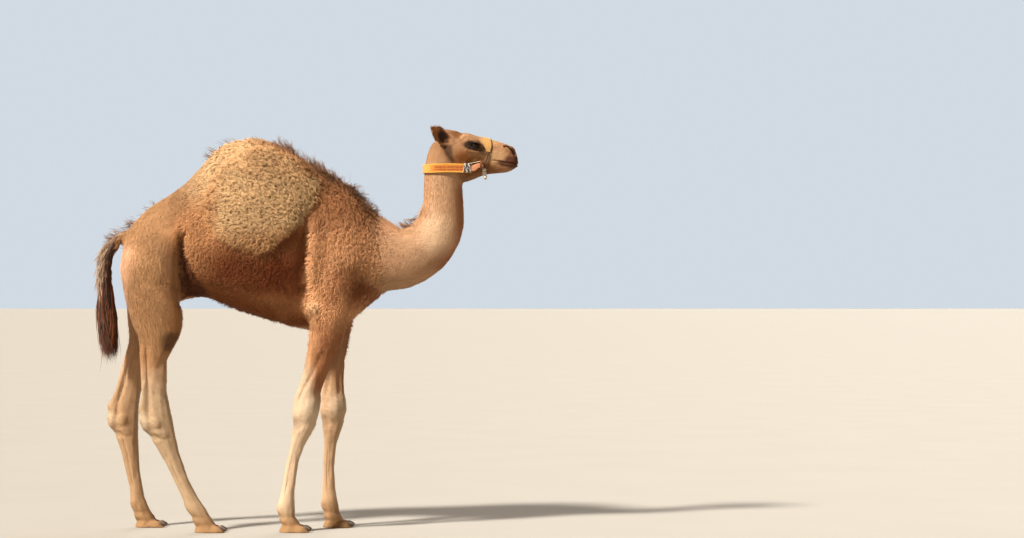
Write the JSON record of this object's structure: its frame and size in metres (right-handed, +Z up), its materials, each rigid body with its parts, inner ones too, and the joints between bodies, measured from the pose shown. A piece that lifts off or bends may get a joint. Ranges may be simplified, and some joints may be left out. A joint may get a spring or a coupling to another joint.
{
  "type": "young dromedary camel",
  "caption": "Standing young dromedary with one woolly hump, long curved neck, padded two-toed feet, a tasselled tail and a woven rope halter.",
  "frame": {"origin": "on the floor, under the middle of the whole model's box", "axes": "+Z up, +X from tail to head, +Y to the animal's left"},
  "size_m": [1.9738, 0.4866, 1.8865],
  "materials": {
    "coat": "short reddish brown hair over skin",
    "wool": "light tan curly wool",
    "leg": "short cream hair over skin",
    "tail_hair": "dark brown long hair",
    "eye": "wet, glossy, very dark brown",
    "nail": "dull dark horn",
    "strap": "woven orange and yellow band",
    "cord": "twisted pale rope"
  },
  "bodies": {
    "root": {"head": "coat", "lower_jaw": "coat", "ear_right": "coat", "ear_left": "coat", "eye_right": "eye", "eye_left": "eye", "neck_upper": "coat", "neck_lower": "coat", "trunk": "coat", "hump": "wool", "tail": "tail_hair", "tail_switch": "tail_hair", "fore_leg_right_upper": "coat", "fore_leg_left_upper": "coat", "hind_leg_right_upper": "coat", "hind_leg_left_upper": "coat", "fore_leg_right_lower": "leg", "fore_leg_left_lower": "leg", "hind_leg_right_lower": "leg", "hind_leg_left_lower": "leg", "nail_fore_right_inner": "nail", "nail_fore_right_outer": "nail", "nail_fore_left_inner": "nail", "nail_fore_left_outer": "nail", "nail_hind_right_inner": "nail", "nail_hind_right_outer": "nail", "nail_hind_left_inner": "nail", "nail_hind_left_outer": "nail", "halter_strap": "strap", "halter_cheek_right": "strap", "halter_cheek_left": "strap", "halter_noseband": "strap", "halter_muzzle_cord": "cord", "halter_knot_right": "cord", "halter_knot_left": "cord", "halter_tassel": "cord"}
  },
  "joints": []
}
